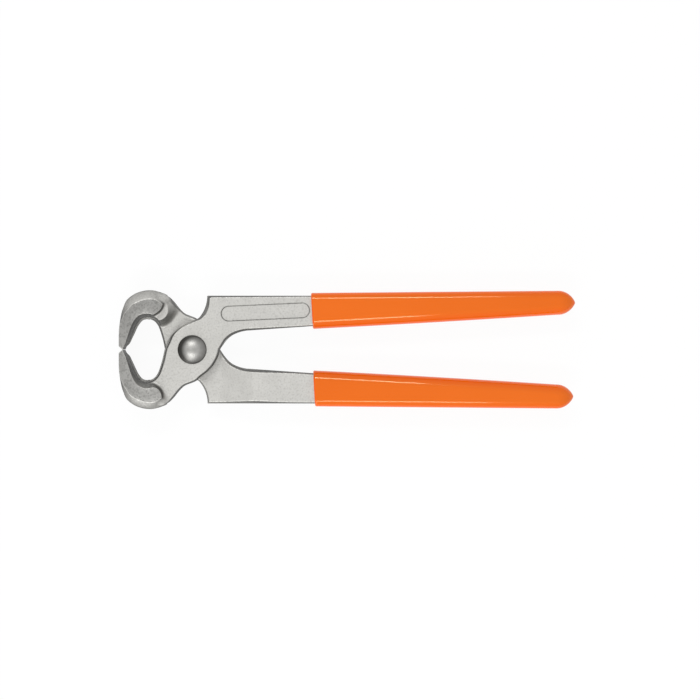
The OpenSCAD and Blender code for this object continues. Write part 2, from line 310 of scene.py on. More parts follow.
def capped_rings(rings: Array, first: Triple, last: Triple, wall: Array, pole_shade: float) -> Surface:
    """Closed surface over rings of points, with a point at each end.

    Args:
        rings: The points, by ring, by place in the ring and by axis.
        first: Point that closes the first ring.
        last: Point that closes the last ring.
        wall: The finish's wall value, the share of its painted shade, at each of the rings' points.
        pole_shade: Its value at both ends.

    Returns:
        The surface, in four-sided faces, where the end faces repeat their pole.
    """
    count, sides = rings.shape[:2]
    i, k = np.meshgrid(np.arange(count - 1), np.arange(sides), indexing="ij")
    a, b = i * sides + k, i * sides + (k + 1) % sides
    body = np.stack([a, b, b + sides, a + sides], 2).reshape(-1, 4)
    k, n = np.arange(sides), count * sides
    after = (k + 1) % sides
    low = np.stack([np.full(sides, n), after, k, k], 1)
    high = np.stack([np.full(sides, n + 1), k, after, after], 1)
    high[:, 1:] += n - sides
    points, faces = np.vstack([rings.reshape(-1, 3), [first], [last]]), np.vstack([body, low, high])
    return Surface(points, faces, values={"wall": np.append(wall.ravel(), [pole_shade] * 2)})


def dress(obj: bpy.types.Object, material: Material, body: Body, node: str) -> None:
    """Gives a piece what the row's record says of it.

    Args:
        obj: The piece.
        material: Its material.
        body: The body that it rides on.
        node: The CAD node that it stands for.
    """
    obj.data.materials.append(material)
    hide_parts(node)
    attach(obj, body.value)


@dataclass(frozen=True)
class Jaw:
    """Sizes of the forged jaw, its crescent side faces and its cutting edge."""

    edge_reach: float = 38.3
    reach: float = 40.4
    half: float = 33.0
    side_z: float = 12.0
    bevel_h: float = 1.9
    mouth_half: float = 16.9
    mouth_back: float = 15.5
    band_outer: float = 3.8
    band_lapped: float = 5.0
    band_bulge: Pair = (0.95, 1.35)
    bulge_x: Pair = (-25.0, -17.0)
    mouth_draft: float = 3.1
    cheek_draft: float = 1.5
    lapped_cheek_draft: float = 0.8
    edge_gap: float = 0.03
    strip: float = 1.15
    dish: float = 0.6
    dish_run: float = 3.6
    crescent_edge_r: float = 0.5
    outer: Shares = (
        (1.000, 0.242), (0.997, 0.409), (0.975, 0.590), (0.948, 0.700), (0.900, 0.830),
        (0.800, 0.930), (0.690, 0.983), (0.577, 1.000), (0.470, 0.982), (0.361, 0.925),
    )
    band_fade: Row = (0, 0.08, 0.35, 0.62, 0.85, 1, 1, 1, 0.95, 0.6)
    cheek: Shares = (
        (0.376, 0.805), (0.380, 0.764), (0.392, 0.712),
        (0.426, 0.645), (0.475, 0.597), (0.527, 0.567),
    )
    mouth: Shares = (
        (0.350, 0.998), (0.450, 1.000), (0.550, 0.950),
        (0.650, 0.780), (0.750, 0.500), (0.850, 0.215),
    )
    draft_fade: Row = (1, 1, 1, 0.95, 0.8, 0.55)
    front_fade: Row = (1.5, 1.5, 1.3, 1.05, 0.82, 0.55)
    cheek_fade: Row = (1, 1, 1, 1, 1.15, 1.75)

    def at_shares(self, shares: Shares) -> Array:
        """Points given as shares of the jaw's reach and half height, on the lower jaw's side."""
        return -np.array(shares) * (self.reach, self.half)

    def at_mouth(self, shares: Shares) -> Array:
        """Points of the mouth's wall, as shares of the way to the edge and of its half height."""
        return -between((self.mouth_back, 0), (self.edge_reach, self.mouth_half), shares)

    def outline(self, draft: float = 0) -> Array:
        """Outline of the jaw up to the plate's height.

        Args:
            draft: How far the mouth's wall is drawn in.

        Returns:
            The closed outline, anticlockwise.
        """
        mouth = inset(self.at_mouth(self.mouth), draft, self.draft_fade)
        outer = self.at_shares(self.outer)
        return self.closed(np.vstack([curve(outer), outer[-1:]]), self.at_shares(self.cheek), mouth)

    def crescent(self, band: float, wall: float, fade: Row, wall_fade: Row, first: int) -> Array:
        """Outline of a crescent side face, rounded where its outer border meets the cheek.

        Args:
            band: How far the outer side is drawn in.
            wall: How far the cheek's end is drawn in.
            fade: Share of the mouth's draft at each point of the mouth.
            wall_fade: Share of the cheek's draft at each of its points.
            first: The cheek's first point that the rounded end leaves in place.

        Returns:
            The closed outline, anticlockwise.
        """
        outer = inset(self.at_shares(self.outer), band, self.band_fade)[:-1]
        cheek = inset(self.at_shares(self.cheek), wall, wall_fade)[first:]
        mouth = inset(self.at_mouth(self.mouth), self.mouth_draft, fade)
        return self.closed(curve(outer), cheek, mouth)

    def closed(self, outer: Array, cheek: Array, mouth: Array) -> Array:
        """Joins the outer side, the cheek and the mouth with the cutting edge's bevel."""
        front = [[-self.edge_reach, -self.edge_gap / 2], [-self.reach, -self.bevel_h]]
        return np.vstack([front, outer, curve(np.vstack([cheek, mouth])), mouth[-1:]])

    def front_crescent(self) -> Array:
        """The crescent on the side where the plate's outer face meets the cheek."""
        return self.crescent(self.band_outer, self.cheek_draft, self.front_fade, self.cheek_fade, 0)

    def lapped_crescent(self) -> Array:
        """The crescent on the side that the other lever laps, with its shorter, rounder end."""
        even = (1,) * len(self.cheek)
        return self.crescent(self.band_lapped, self.lapped_cheek_draft, self.draft_fade, even, 1)


@dataclass(frozen=True)
class Plate:
    """Sizes of the lapped plate, its neck to the jaw and its bore.

    A pair that ends in _x, _y or _run is where something sets in and where it is full.
    """

    top_z: float = 7.05
    lap_z: float = 0.05
    radius: float = 14.5
    draft: float = 0.9
    mouth_draft: float = 1.55
    mouth_way: Pair = (-0.8, 0.6)
    mouth_run: Pair = (-2.0, 5.0)
    mouth_end_y: Pair = (4.0, 10.0)
    shoulder_draft: float = 2.2
    shoulder_y: Pair = (15.0, 20.0)
    shoulder_end_x: Pair = (8.5, 11.0)
    fork_draft: float = 0.55
    fork_x: Pair = (14.0, 19.0)
    fork_end_x: Pair = (40.0, 66.0)
    fork_end_y: Pair = (10.0, 14.0)
    lap_in: float = 0.8
    lap_in_z: Pair = (2.4, 0.2)
    lap_end_x: Pair = (30.0, 60.0)
    strip: float = 0.7
    strip_r: float = 0.3
    parting_r: float = 0.2
    bore_r: float = 4.84
    bore_edge_r: float = 0.3
    open_deg: float = 30.0
    swing_clear: float = 0.5
    swing_steps: int = 6
    sweep_step: float = 1.4
    land_at: Pair = (-19.0, -22.0)
    land_r: float = 5.6
    land_oval: float = 0.8
    land_turn: Pair = (-0.6, 0.5)
    land_drop_run: Pair = (3.6, 6.6)
    land_drop_power: float = 1.05
    land_drop_foot: float = 0.36
    neck_outer: Shares = (
        (0.400, 0.935), (0.307, 0.876), (0.250, 0.800),
        (0.196, 0.715), (0.141, 0.643), (0.087, 0.597),
    )
    neck_mouth: Shares = ((0.155, 0.745), (0.250, 0.925), (0.330, 0.985))
    neck_end: Shares = ((0.640, 0.553), (0.605, 0.730), (0.520, 0.900))
    free_deg: Row = (-84, -72, -56, -38, -20, -8)
    free_r: Row = (1.215, 1.080, 1.020, 0.995, 1.005, 1.030)
    left_side: Shares = (
        (-0.020, 0.950), (0.400, 0.765), (0.740, 0.480),
        (0.930, 0.160), (1.000, 0.000), (1.090, -0.360),
    )

    def free_points(self, grow: float) -> Array:
        """Points of the plate's free side, round the rivet, grown by a clearance."""
        angle, radius = np.radians(self.free_deg), np.array(self.free_r) * self.radius + grow
        return np.stack([radius * np.cos(angle), radius * np.sin(angle)], 1)


@dataclass(frozen=True)
class Shank:
    """Sizes of the steel between the joint and the grip, and of its marking panel."""

    out: float = 30.0
    fork_root: float = 15.3
    fork_half: float = 10.6
    fork_end: float = 30.0
    shoulder_x: float = 8.2
    shoulder_r: float = 18.6
    shoulder_deg: float = 42.0
    half_t: float = 4.8
    ramp_start: float = 15.5
    ramp_len: float = 19.0
    grip_start: float = 67.0
    ends_at: float = 73.0
    panel_len: float = 49.0
    panel_w: float = 8.2
    panel_depth: float = 0.4
    panel_at: Pair = (40.6, 20.9)
    panel_tilt: float = 2.6
    panel_edge_r: float = 0.25
    fork: Shares = (
        (0.0, 0.0), (0.095, 0.205), (0.24, 0.475), (0.39, 0.675),
        (0.54, 0.808), (0.77, 0.93), (1.0, 1.0),
    )

    def fork_points(self) -> Array:
        """Points of the fork's curve, from the crotch to where it straightens."""
        return between((self.fork_root, 0), (self.fork_end, self.fork_half), self.fork)

    def shoulder_points(self, steps: int = 24) -> Array:
        """Arc of the hollow under the shoulder, from the shank's corner down.

        Args:
            steps: How many points it has.

        Returns:
            The points.
        """
        angle = -np.radians(np.linspace(0, self.shoulder_deg, steps))
        centre = np.array([self.shoulder_x - self.shoulder_r, self.out])
        return centre + self.shoulder_r * np.stack([np.cos(angle), np.sin(angle)], 1)

    def panel_distance(self, x: Array, y: Array) -> Array:
        """Signed distance to the marking panel's round-ended outline.

        Args:
            x: Places along X.
            y: Places along Y.

        Returns:
            The distances, below 0 inside.
        """
        tilt = math.radians(self.panel_tilt)
        dx, dy = x - self.panel_at[0], y - self.panel_at[1]
        along = dx * math.cos(tilt) + dy * math.sin(tilt)
        across = dy * math.cos(tilt) - dx * math.sin(tilt)
        half = (self.panel_len - self.panel_w) / 2
        return np.hypot(np.maximum(np.abs(along) - half, 0), across) - self.panel_w / 2


@dataclass(frozen=True)
class Handle:
    """Edges of a steel handle inside its grip: straight tapers, the inner edge a little bowed."""

    start: float = 67.0
    end: float = 203.5
    inner: Pair = (13.1, 21.0)
    outer: Pair = (30.0, 31.2)
    half_t: Pair = (4.8, 4.3)
    bow: float = 0.25

    def edges(self, x: Array) -> tuple[Array, ...]:
        """Places of the handle's edges.

        Args:
            x: Distances from the rivet's axis.

        Returns:
            The inner edge, the outer edge and half the thickness there.
        """
        s = (np.asarray(x, dtype=float) - self.start) / (self.end - self.start)
        inner, outer, half_t = (a + (b - a) * s for a, b in (self.inner, self.outer, self.half_t))
        return inner - self.bow * 4 * s * (1 - s), outer, half_t


@dataclass
class ForgedLever:
    """The forged lever as a field: below 0 in the steel, above 0 outside, 0 on its surface.

    Each spot is a painted light, where the painted shade on a wall is lifted: its middle, how far it
    fades along X and along Y, and the side of the parting plane that it is on.

    The mesh has cells that reach a few over the jaw's face. Its points are set on the surface in
    rounds of steps that go by the least squared slope or more. Between rounds they are evened out
    by a share of the way to their neighbours' mean.
    """

    jaw: Jaw = Jaw()
    plate: Plate = Plate()
    shank: Shank = Shank()
    handle: Handle = Handle()
    cell: float = 0.34
    cells_over: float = 2.1
    rounds: int = 3
    steps: int = 2
    even: float = 0.5
    least: float = 0.05
    edge_r: float = 0.6
    lap_edge_r: float = 0.7
    root_r: float = 1.3
    swept_r: float = 0.35
    side_r: float = 1.0
    side_edge_r: Pair = (0.05, 0.9)
    heel_r: float = 3.4
    heel_drop: float = 1.8
    heel_reach: Pair = (1.5, 8.0)
    ground_z: Pair = (0.75, 0.45)
    ground_tilt: Pair = (0.03, 0.1)
    outer_z: float = 0.6
    far: float = 9.0
    # painted light: spots where the walls' painted shade is lifted
    painted_light_spots: tuple[Row, ...] = ((-4, 13, 40, 40, 1), (-13, -29.5, 40, 9, -1))
    painted_light_share: float = 0.6
    low: Pair = (-42.0, -34.5)
    high: Pair = (74.5, 32.0)

    def __post_init__(self) -> None:
        """Measures the distances to every outline of the lever."""
        self.plan = Plan(low=self.low, high=self.high, step=self.cell)
        self.plan.add("lever", self.lever_outline())
        self.plan.add("jaw", self.jaw.outline())
        self.plan.add("jaw_root", self.jaw.outline(self.root_draft()))
        self.plan.add("jaw_outer", self.jaw.front_crescent())
        self.plan.add("jaw_lapped", self.jaw.lapped_crescent())
        self.plan.layers["swept"] = self.swept_distance()
        self.heel_at = self.jaw.at_shares(self.jaw.outer)[-1]

    def root_draft(self) -> float:
        """How far the mouth's wall is drawn in at the plate's height."""
        return self.jaw.mouth_draft * self.plate.top_z / self.jaw.side_z

    def left_points(self, grow: float) -> Array:
        """Points of the lever's edge from under the shoulder to the mouth."""
        s = np.array(self.plate.left_side)
        return np.stack([-s[:, 0] * self.jaw.mouth_back - grow, s[:, 1] * self.jaw.mouth_half], 1)

    def lever_outline(self) -> Array:
        """Outline of plate, neck and shank on the parting plane, cut off inside the grip.

        Returns:
            The closed outline, anticlockwise.
        """
        x = np.array([self.shank.grip_start - 1, self.shank.ends_at])
        inner, outer, _ = self.handle.edges(x)
        jaw, plate = self.jaw, self.plate
        neck = jaw.at_shares(plate.neck_outer)
        return np.vstack([
            curve(np.vstack([neck, plate.free_points(0), self.shank.fork_points()])),
            np.stack([x, inner], 1),
            np.stack([x, outer], 1)[::-1],
            self.shank.shoulder_points(),
            curve(np.vstack([self.left_points(0), jaw.at_mouth(plate.neck_mouth)])),
            jaw.at_shares(plate.neck_end),
        ])

    def joint_outline(self, grow: float) -> Array:
        """Outline of what the other lever must clear: plate, neck and the root of the shank.

        Args:
            grow: Clearance round it.

        Returns:
            The closed outline, anticlockwise.
        """
        jaw, plate = self.jaw, self.plate
        root = self.shank.fork_points()[:1] + (grow, 0)
        shoulder = self.shank.shoulder_points()[-1:]
        return np.vstack([
            curve(np.vstack([jaw.at_shares(plate.neck_outer), plate.free_points(grow), root])),
            root,
            [[self.shank.shoulder_x, self.shank.out / 2]],
            curve(np.vstack([shoulder, self.left_points(grow), jaw.at_mouth(plate.neck_mouth)])),
        ])

    def swept_distance(self) -> Array:
        """Distance to what the other lever's joint sweeps over the whole swing.

        Returns:
            The distances on the plan's grid, below 0 in what is swept.
        """
        other = self.joint_outline(self.plate.swing_clear) * (1, -1)
        x, y = np.meshgrid(*self.plan.axes(), indexing="ij")
        swept = np.full(x.shape, np.inf)
        for angle in np.radians(np.linspace(0, self.plate.open_deg, self.plate.swing_steps)):
            turned_x = x * math.cos(angle) - y * math.sin(angle)
            turned_y = x * math.sin(angle) + y * math.cos(angle)
            swept = np.minimum(swept, outline_distance(other, turned_x, turned_y))
        return swept

    def top(self, x: Array) -> Array:
        """Height of the outer face: level over the plate, then sloping down to the grip."""
        s, z = self.shank, self.plate.top_z
        return z - (z - s.half_t) / (s.grip_start - s.shoulder_x) * np.maximum(x - s.shoulder_x, 0)

    def bottom(self, x: Array, y: Array, swept: Array) -> Array:
        """Height of the lapped face.

        It is level wherever the other lever sweeps. From there a ramp leads to the shank, and a
        hollow drop to the tongue of land at the jaw, whose edge is an oval round the land's middle.

        Args:
            x: Places along X.
            y: Places along Y.
            swept: Distance there to what the other lever sweeps.

        Returns:
            The heights.
        """
        plate, shank = self.plate, self.shank
        ramp = smooth_ramp((x - shank.ramp_start) / shank.ramp_len)
        to_shank = (plate.lap_z + shank.half_t) * ramp
        dx, dy = x - plate.land_at[0], y - plate.land_at[1]
        away = np.hypot(np.maximum(dx, 0), np.where(dy < 0, plate.land_oval * dy, dy))
        short, long = plate.land_drop_run
        run = short + (long - short) * smooth_step(*plate.land_turn, -dy / np.maximum(away, 1e-6))
        fallen = (np.maximum(away - plate.land_r, 0) / run) ** plate.land_drop_power
        to_jaw = (plate.lap_z + plate.top_z) * smooth_max(1 - fallen, 0, plate.land_drop_foot)
        return plate.lap_z - (to_shank + to_jaw) * smooth_step(0, plate.sweep_step, swept)

    def drawn_in(self, lift: Array, strip: float | Array, draft: float | Array) -> Array:
        """How far a wall stands back: a strip at 45 degrees, then a straight steep rise.

        Args:
            lift: Heights above or below the parting plane.
            strip: Width of the strip.
            draft: How far the wall stands back at the plate's height, strip included.

        Returns:
            The distances.
        """
        plate = self.plate
        soft = np.hypot(lift, plate.parting_r) - plate.parting_r
        return smooth_min(soft, strip, plate.strip_r) + (draft - strip) * soft / plate.top_z

    def wall_draft(self, x: Array, y: Array) -> Array:
        """Draft of the lever's walls, larger at mouth and fork and in the hollow under the shoulder.

        Args:
            x: Places along X.
            y: Places along Y.

        Returns:
            The drafts.
        """
        plate = self.plate
        along_x, along_y = plate.mouth_way
        mouth = smooth_step(*plate.mouth_run, along_x * x + along_y * y)
        mouth = mouth * (1 - smooth_step(*plate.mouth_end_y, y))
        shoulder = smooth_step(*plate.shoulder_y, y) * (1 - smooth_step(*plate.shoulder_end_x, x))
        fork = smooth_step(*plate.fork_x, x) * (1 - smooth_step(*plate.fork_end_y, y))
        fork = fork * (1 - smooth_step(*plate.fork_end_x, x))
        draft = plate.draft + (plate.mouth_draft - plate.draft) * mouth
        return draft + (plate.shoulder_draft - plate.draft) * shoulder + plate.fork_draft * fork

    def __call__(self, x: Array, y: Array, z: Array, plan: dict[str, Array] | None = None) -> Array:
        """The field at given places.

        Args:
            x: Places along X.
            y: Places along Y.
            z: Places along Z.
            plan: Values of the plan's layers at x and y, where they are known already.

        Returns:
            The field's values.
        """
        jaw, plate = self.jaw, self.plate
        at = plan or {name: self.plan.read(name, x, y) for name in self.plan.layers}
        lift = np.abs(z)
        draft = self.wall_draft(x, y)
        strip = plate.strip * smooth_step(plate.draft, plate.mouth_draft, draft)
        strip = strip * (1 - smooth_step(*plate.mouth_end_y, y))
        lap_in = plate.lap_in * smooth_step(*plate.lap_in_z, z)
        lap_in = lap_in * (1 - smooth_step(*plate.lap_end_x, x))
        rise_z = plate.lap_in_z[0]
        above = np.maximum(z - rise_z, 0) * plate.top_z / (plate.top_z - rise_z)
        side = at["lever"] + self.drawn_in(np.maximum(above, -z), strip, draft) + lap_in
        slab = smooth_max(side, z - self.top(x), self.edge_r)
        slab = smooth_max(slab, self.bottom(x, y, at["swept"]) - z, self.lap_edge_r)

        heel = np.hypot(x - self.heel_at[0], y - self.heel_at[1])
        heel = 1 - smooth_step(*self.heel_reach, heel)
        foot = plate.top_z - self.heel_drop * heel * (z < 0)
        rise = np.clip((lift - foot) / (jaw.side_z - foot), 0, 1)
        side = np.where(z > 0, at["jaw_outer"], at["jaw_lapped"])
        root = np.minimum(self.drawn_in(lift, jaw.strip, self.root_draft()) / self.root_draft(), 1)
        wall = at["jaw"] + (at["jaw_root"] - at["jaw"]) * root
        end, front = jaw.band_bulge
        bulge = end + (front - end) * (1 - smooth_step(*jaw.bulge_x, x))
        wall = wall + (side - at["jaw_root"]) * np.maximum(rise, 1e-6) ** bulge
        dish = jaw.dish * (1 - np.exp(np.minimum(side, 0) / jaw.dish_run))
        cheek = smooth_max(wall, lift - jaw.side_z + dish, jaw.crescent_edge_r)
        cheek = smooth_max(cheek, -np.maximum(at["swept"], z - plate.lap_z), self.swept_r)
        solid = smooth_min(slab, cheek, self.root_r + self.heel_r * heel)
        around = smooth_min(at["lever"], at["jaw"], self.side_r)
        sharp, round_r = self.side_edge_r
        solid = smooth_max(solid, around, sharp + round_r * heel)
        solid = smooth_max(solid, plate.bore_r - np.hypot(x, y), plate.bore_edge_r)
        floor, edge_r = self.top(x) - self.shank.panel_depth - z, self.shank.panel_edge_r
        pocket = smooth_max(self.shank.panel_distance(x, y), floor, edge_r)
        return smooth_max(solid, -pocket, edge_r)

    def surface(self) -> Surface:
        """Surface of the field, as one point in each grid cell that it passes through.

        A point starts at the mean of its cell's crossings and is then set on the surface. The four
        cells round each crossed grid line make a face.

        Returns:
            The closed surface with exact normals and the values that the finish reads.
        """
        step = self.cell
        xs, ys = self.plan.axes()
        top = self.jaw.side_z + self.cells_over * step
        zs = np.arange(-top, top, step)
        known = {name: grid[:, :, None] for name, grid in self.plan.layers.items()}
        value = self(xs[:, None, None], ys[None, :, None], zs[None, None].astype(np.float32), known)
        value = value.astype(np.float32)
        value[[0, -1]] = value[:, [0, -1]] = value[:, :, [0, -1]] = step
        inside = value < 0
        cells = tuple(n - 1 for n in value.shape)
        total = np.zeros(cells + (3,), dtype=np.float32)
        count = np.zeros(cells, dtype=np.float32)
        crossings = []
        for axis in range(3):
            low, high = [slice(None)] * 3, [slice(None)] * 3
            low[axis], high[axis] = slice(0, -1), slice(1, None)
            low, high = tuple(low), tuple(high)
            where = np.argwhere(inside[low] != inside[high])
            spot = tuple(where.T)
            before, after = value[low][spot], value[high][spot]
            at = where.astype(np.float32)
            at[:, axis] += before / (before - after)
            crossings.append((axis, where, inside[low][spot]))
            for ring in self.cells_round(where, axis):
                np.add.at(total, tuple(ring.T), at)
                np.add.at(count, tuple(ring.T), 1)
        used = np.argwhere(count > 0)
        spot = tuple(used.T)
        index = np.full(cells, -1)
        index[spot] = np.arange(len(used))
        points = np.array([xs[0], ys[0], zs[0]]) + step * total[spot] / count[spot][:, None]
        faces = []
        for axis, where, solid_first in crossings:
            quad = np.stack([index[tuple(ring.T)] for ring in self.cells_round(where, axis)], 1)
            faces.append(np.where(solid_first[:, None], quad, quad[:, ::-1]))
        faces = np.vstack(faces)
        points = self.settle(points, faces)
        _, slope = field_gradient(self, points)
        normals = slope / np.maximum(np.linalg.norm(slope, axis=1), 1e-9)[:, None]
        return Surface(points, faces, normals, self.finish_values(points, normals))

    @staticmethod
    def cells_round(where: Array, axis: int) -> list[Array]:
        """The four cells round each crossed grid line, in order about its axis.

        Args:
            where: The lines' places in the grid.
            axis: Number of the axis that they run along.

        Returns:
            The cells' places, as four arrays.
        """
        b, c = [(1, 2), (2, 0), (0, 1)][axis]
        cells = []
        for db, dc in ((0, 0), (1, 0), (1, 1), (0, 1)):
            cell = where.copy()
            cell[:, b] -= db
            cell[:, c] -= dc
            cells.append(cell)
        return cells

    def settle(self, points: Array, faces: Array) -> Array:
        """Sets points on the field's surface in rounds, and evens out their spacing in between.

        Args:
            points: The points near the surface.
            faces: Their four-sided faces.

        Returns:
            The moved points.
        """
        for turn in range(self.rounds):
            mean, count = np.zeros_like(points), np.zeros(len(points))
            for a, b in ((0, 1), (1, 2), (2, 3), (3, 0)):
                for i, j in ((a, b), (b, a)):
                    np.add.at(mean, faces[:, i], points[faces[:, j]])
                    np.add.at(count, faces[:, i], 1)
            if turn < self.rounds - 1:
                points = points + self.even * (mean / count[:, None] - points)
            for _ in range(self.steps):
                value, slope = field_gradient(self, points)
                move = (value / np.maximum((slope**2).sum(1), self.least))[:, None] * slope
                size = np.linalg.norm(move, axis=1)[:, None]
                points = points - move * np.minimum(1, self.cell / np.maximum(size, 1e-9))
        return points

    def finish_values(self, points: Array, normals: Array) -> dict[str, Array]:
        """Values that the steel's finish reads at each point.

        Args:
            points: The surface's points.
            normals: Their normals.

        Returns:
            wall: 0 on level faces to 1 on upright ones, the share of painted shade there, lowered in
                the painted light spots; ground: 1 on the crescents; panel: distance to the marking
                panel's border in millimetres, and far away where there is none.
        """
        x, y, z = points.T
        upright = 1 - np.abs(normals[:, 2])
        below = self.jaw.side_z - np.abs(z)
        ground = smooth_step(*self.ground_z, below) * (1 - smooth_step(*self.ground_tilt, upright))
        # painted light: lift the walls' painted shade in these spots
        light = 0
        for mid_x, mid_y, wide_x, wide_y, face in self.painted_light_spots:
            spot = np.exp(-((x - mid_x) ** 2 / wide_x + (y - mid_y) ** 2 / wide_y))
            light = light + spot * (z * face > 0)
        outer_face = np.abs(self.top(x) - z) < self.outer_z
        # the panel distance feeds the painted shade in the panel's border groove
        panel = np.where(outer_face, self.shank.panel_distance(x, y), self.far)
        panel = np.clip(panel, -self.far, self.far)
        # wall carries the share of painted shade on walls, lifted in the painted light spots
        return {"wall": upright * (1 - self.painted_light_share * light), "ground": ground, "panel": panel}

    def build(self, material: Material) -> None:
        """Makes the front lever and its twin turned over.

        Args:
            material: The levers' finish.
        """
        front = self.surface()
        rear = front.turned_over()
        dress(front.make("front_forging"), material, Body.FRONT, "front_lever")
        dress(rear.make("rear_forging"), material, Body.REAR, "rear_lever")


@dataclass(frozen=True)
class DomedRivet:
    """The rivet: a shank through both plates and a domed head at each side."""

    shank_r: float = 4.8
    head_r: float = 8.0
    head_z: float = 7.1
    head_h: float = 3.8
    ball_r: float = 11.1
    cap_r: float = 6.4
    foot: float = 0.25
    under_in: float = 0.3
    cap_rows: int = 40
    rim_rows: int = 18
    sides: int = 160
    # painted shade on the head's sloping rim, darker on the jaws' side
    shade_level: float = 1.12
    shade_swing: float = 0.46

    def profile(self) -> Array:
        """Half section from pole to pole: a ball's cap, and a quadratic curve down its steep rim.

        Returns:
            The section's points, as distances from the axis and heights.
        """
        out = self.cap_r * np.linspace(1, 0, self.cap_rows)[:-1]
        top = self.head_z + self.head_h - self.ball_r
        cap = np.stack([out, top + np.sqrt(self.ball_r**2 - out**2)], 1)
        wide = self.head_r - self.cap_r
        fall = wide * self.cap_r / math.sqrt(self.ball_r**2 - self.cap_r**2)
        t = np.linspace(0, 1, self.rim_rows)[:-1, None]
        low = np.array([self.head_r, self.head_z + self.foot])
        rim = (1 - t) ** 2 * low + 2 * t * (1 - t) * (cap[0] + (wide, -fall)) + t**2 * cap[0]
        under = np.array([[self.shank_r, self.head_z], [self.head_r - self.under_in, self.head_z]])
        half = np.vstack([under, rim, cap, [[0, self.head_z + self.head_h]]])
        return np.vstack([(half * (1, -1))[::-1], half])

    def surface(self) -> Surface:
        """Surface of revolution about Z, as rings of the profile's points turned round the axis.

        Returns:
            The closed surface, whose wall value, the share of painted shade on the head, rises with
            its slope, most on the jaws' side.
        """
        profile = self.profile()
        angle = np.linspace(0, 2 * np.pi, self.sides, endpoint=False)
        rings = profile[1:-1]
        height = np.repeat(rings[:, 1:], self.sides, 1)
        points = np.stack([rings[:, :1] * np.cos(angle), rings[:, :1] * np.sin(angle), height], 2)
        ahead = np.vstack([profile[2:], profile[-1:]]) - profile[:-1]
        tilt = 1 - np.abs(ahead[:, 0]) / np.maximum(np.linalg.norm(ahead, axis=1), 1e-9)
        # painted shade: rises with the rim's slope, most towards the jaws
        wall = tilt[: len(rings), None] * (self.shade_level - self.shade_swing * np.cos(angle))
        return capped_rings(points, (0, 0, profile[0, 1]), (0, 0, profile[-1, 1]), wall, 0)

    def build(self, material: Material) -> None:
        """Makes the rivet, which turns with the front lever."""
        dress(self.surface().make("domed_rivet"), material, Body.FRONT, "pivot_rivet")


@dataclass(frozen=True)
class DippedGrip:
    """The plastic coat on one handle, thicker towards its rounded corners."""

    start: float
    reach: float
    slant: float
    handle: Handle = Handle()
    thick: float = 1.6
    cap: float = 9.5
    round_out: float = 4.4
    round_in: float = 5.9
    lip: float = 0.8
    slant_run: float = 8.0
    tip_power: float = 2.1
    tip_root: float = 0.74
    tip_spread: float = 1.7
    # painted shade at the lip and towards the tip
    lip_shade_band: Pair = (0.3, 1.4)
    tip_shade_band: Pair = (3.5, 0.4)
    inner_rows: int = 3
    inner_depth: float = 0.5
    lip_rows: int = 9
    body_rows: int = 120
    tip_rows: int = 48
    corner_points: int = 15

    def surface(self) -> Surface:
        """Loft of rounded rectangles along the handle, drawn in at the lip and to a blunt tip.

        A ring is four quarter turns about its corners. At the tip it shrinks by
        (1 - s ** power) ** root over the cap's length s.

        Returns:
            The closed surface on the front lever's handle.
        """
        tip_start = self.reach - self.cap
        turn = np.linspace(0, np.pi / 2, self.lip_rows)
        tip = 1 - (1 - np.linspace(0, 1, self.tip_rows)[1:-1]) ** self.tip_spread
        x = np.concatenate([
            np.full(self.inner_rows, self.start),
            self.start + self.lip * (1 - np.cos(turn)),
            np.linspace(self.start + self.lip, tip_start, self.body_rows)[1:],
            tip_start + self.cap * tip,
        ])
        pull, scale, inner = np.zeros(len(x)), np.ones(len(x)), self.inner_rows
        deep = self.thick + self.inner_depth
        pull[:inner] = np.linspace(deep, self.lip, inner + 1)[:-1]
        pull[inner : inner + self.lip_rows] = self.lip * (1 - np.sin(turn))
        scale[-len(tip):] = (1 - tip**self.tip_power) ** self.tip_root
        inner, outer, half_t = self.handle.edges(np.minimum(x, tip_start))
        low, high = inner - self.thick + pull, outer + self.thick - pull
        middle, half_y, half_z = (low + high) / 2, (high - low) / 2, half_t + self.thick - pull
        slant = self.slant * (1 - smooth_step(self.start, self.start + self.slant_run, x))
        rings, side_shade = [], []
        big, small = self.round_in, self.round_out
        corners = ((1, 1, small), (-1, 1, big), (-1, -1, big), (1, -1, small))
        for quarter, (sy, sz, r) in enumerate(corners):
            angle = np.linspace(0, np.pi / 2, self.corner_points) + quarter * np.pi / 2
            y = scale[:, None] * (sy * (half_y - r)[:, None] + r * np.cos(angle))
            z = scale[:, None] * (sz * (half_z - r)[:, None] + r * np.sin(angle))
            rings.append(np.stack([x[:, None] + slant[:, None] * y, middle[:, None] + y, z], 2))
            side_shade.append(np.abs(np.cos(angle)))
        # painted shade: the wall value is high on the coat's sides, at its lip and towards its tip
        end = 1 - smooth_step(*self.lip_shade_band, x - self.start)
        end = np.maximum(end, smooth_step(*self.tip_shade_band, self.reach - x))
        wall = np.maximum(np.concatenate(side_shade), end[:, None])
        poles = (x[0], middle[0], 0), (self.reach, middle[-1], 0)
        return capped_rings(np.concatenate(rings, 1), *poles, wall, 1)


@dataclass(frozen=True)
class Grips:
    """Both grips. The rear one starts later, ends sooner and slants the other way."""

    front: DippedGrip = DippedGrip(start=66.4, reach=213.0, slant=-0.055)
    rear: DippedGrip = DippedGrip(start=67.6, reach=212.0, slant=0.055)

    def build(self, material: Material) -> None:
        """Makes both grips.

        Args:
            material: Their finish.
        """
        front, rear = self.front.surface(), self.rear.surface().turned_over()
        dress(front.make("front_dip"), material, Body.FRONT, "front_grip")
        dress(rear.make("rear_dip"), material, Body.REAR, "rear_grip")


